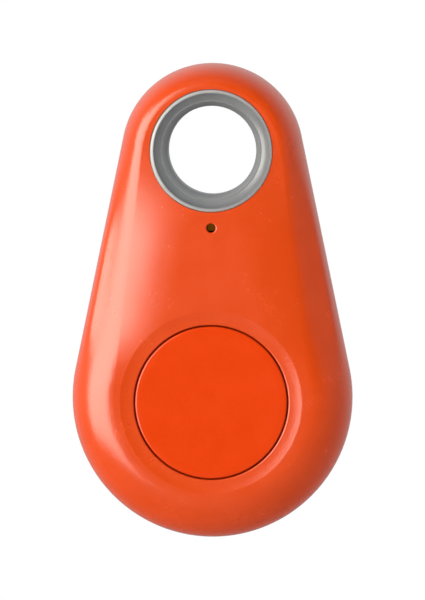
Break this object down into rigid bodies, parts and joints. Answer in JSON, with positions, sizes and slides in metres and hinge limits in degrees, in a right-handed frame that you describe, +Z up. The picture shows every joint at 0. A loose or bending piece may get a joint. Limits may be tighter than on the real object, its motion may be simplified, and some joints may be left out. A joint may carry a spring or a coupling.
{
  "type": "bluetooth tracker tag",
  "caption": "Pebble-shaped key finder tag with a grey keyring eyelet, a round push button and a pull-off back over a coin cell.",
  "frame": {"origin": "centre of the keyring eyelet's bore, on the plane where the two shells part", "axes": "+Z up towards the crown as the tag hangs, +Y out of the flat back, the button faces -Y, +X to the viewer's right"},
  "size_m": [0.031, 0.0101, 0.0524],
  "materials": {
    "shell_plastic": "satin moulded orange with a fine grain",
    "button_plastic": "satin moulded orange with a fine grain",
    "eyelet_grey": "satin moulded grey",
    "board_laminate": "green solder mask over glass laminate",
    "copper": "bright copper",
    "tin": "satin tin",
    "chip_resin": "moulded resin",
    "crystal_can": "plated can",
    "capacitor_ceramic": "fired ceramic with tinned ends",
    "light_ceramic": "white base",
    "light_resin": "tinted clear resin",
    "black_plastic": "heat-proof moulding",
    "magnet_ferrite": "sintered",
    "spring_steel": "rolled strip",
    "screw_steel": "zinc plated",
    "contact_strip": "nickel-plated strip",
    "cell_steel": "nickel-plated steel",
    "seal_plastic": "moulded nylon",
    "foam": "closed-cell foam"
  },
  "bodies": {
    "casing": {"front_shell": "shell_plastic", "eyelet_ring_front": "eyelet_grey", "main_board": "board_laminate", "board_antenna": "copper", "radio_chip": "chip_resin", "radio_pads": "tin", "radio_crystal": "crystal_can", "watch_crystal": "crystal_can", "chip_capacitors": "capacitor_ceramic", "chip_resistors": "chip_resin", "light_base": "light_ceramic", "light_lens": "light_resin", "sounder_case": "black_plastic", "sounder_lid_plate": "black_plastic", "sounder_magnet": "magnet_ferrite", "sounder_coil": "copper", "sounder_core": "spring_steel", "sounder_diaphragm": "spring_steel", "switch_base": "black_plastic", "switch_plate_cover": "spring_steel", "switch_legs": "tin", "board_screws": "screw_steel", "cell_holder": "black_plastic", "negative_contact": "contact_strip", "positive_contact": "contact_strip"},
    "button": {"button_cap": "button_plastic"},
    "plunger": {"switch_plunger": "black_plastic", "switch_dome": "spring_steel"},
    "back_cover": {"back_shell": "shell_plastic", "eyelet_ring_back": "eyelet_grey", "foam_pad": "foam"},
    "coin_cell": {"cell_can": "cell_steel", "cell_seal_ring": "seal_plastic", "cell_cap": "cell_steel"}
  },
  "joints": [
    {"name": "button_press", "type": "slide", "parent": "casing", "child": "button", "axis": [0, 1, 0], "range_m": [0, 0.00025], "stiffness_N_per_m": 4000},
    {"name": "plunger_press", "type": "slide", "parent": "casing", "child": "plunger", "axis": [0, 1, 0], "range_m": [0, 0.00025]},
    {"name": "cover_pull", "type": "slide", "parent": "casing", "child": "back_cover", "axis": [0, 1, 0], "range_m": [0, 0.02]},
    {"name": "cell_lift", "type": "slide", "parent": "casing", "child": "coin_cell", "axis": [0, 1, 0], "range_m": [0, 0.009]}
  ],
  "couplings": [
    {"joint": "plunger_press", "follows": "button_press", "ratio": 1},
    {"joint": "cell_lift", "follows": "cover_pull", "ratio": 0.45}
  ]
}
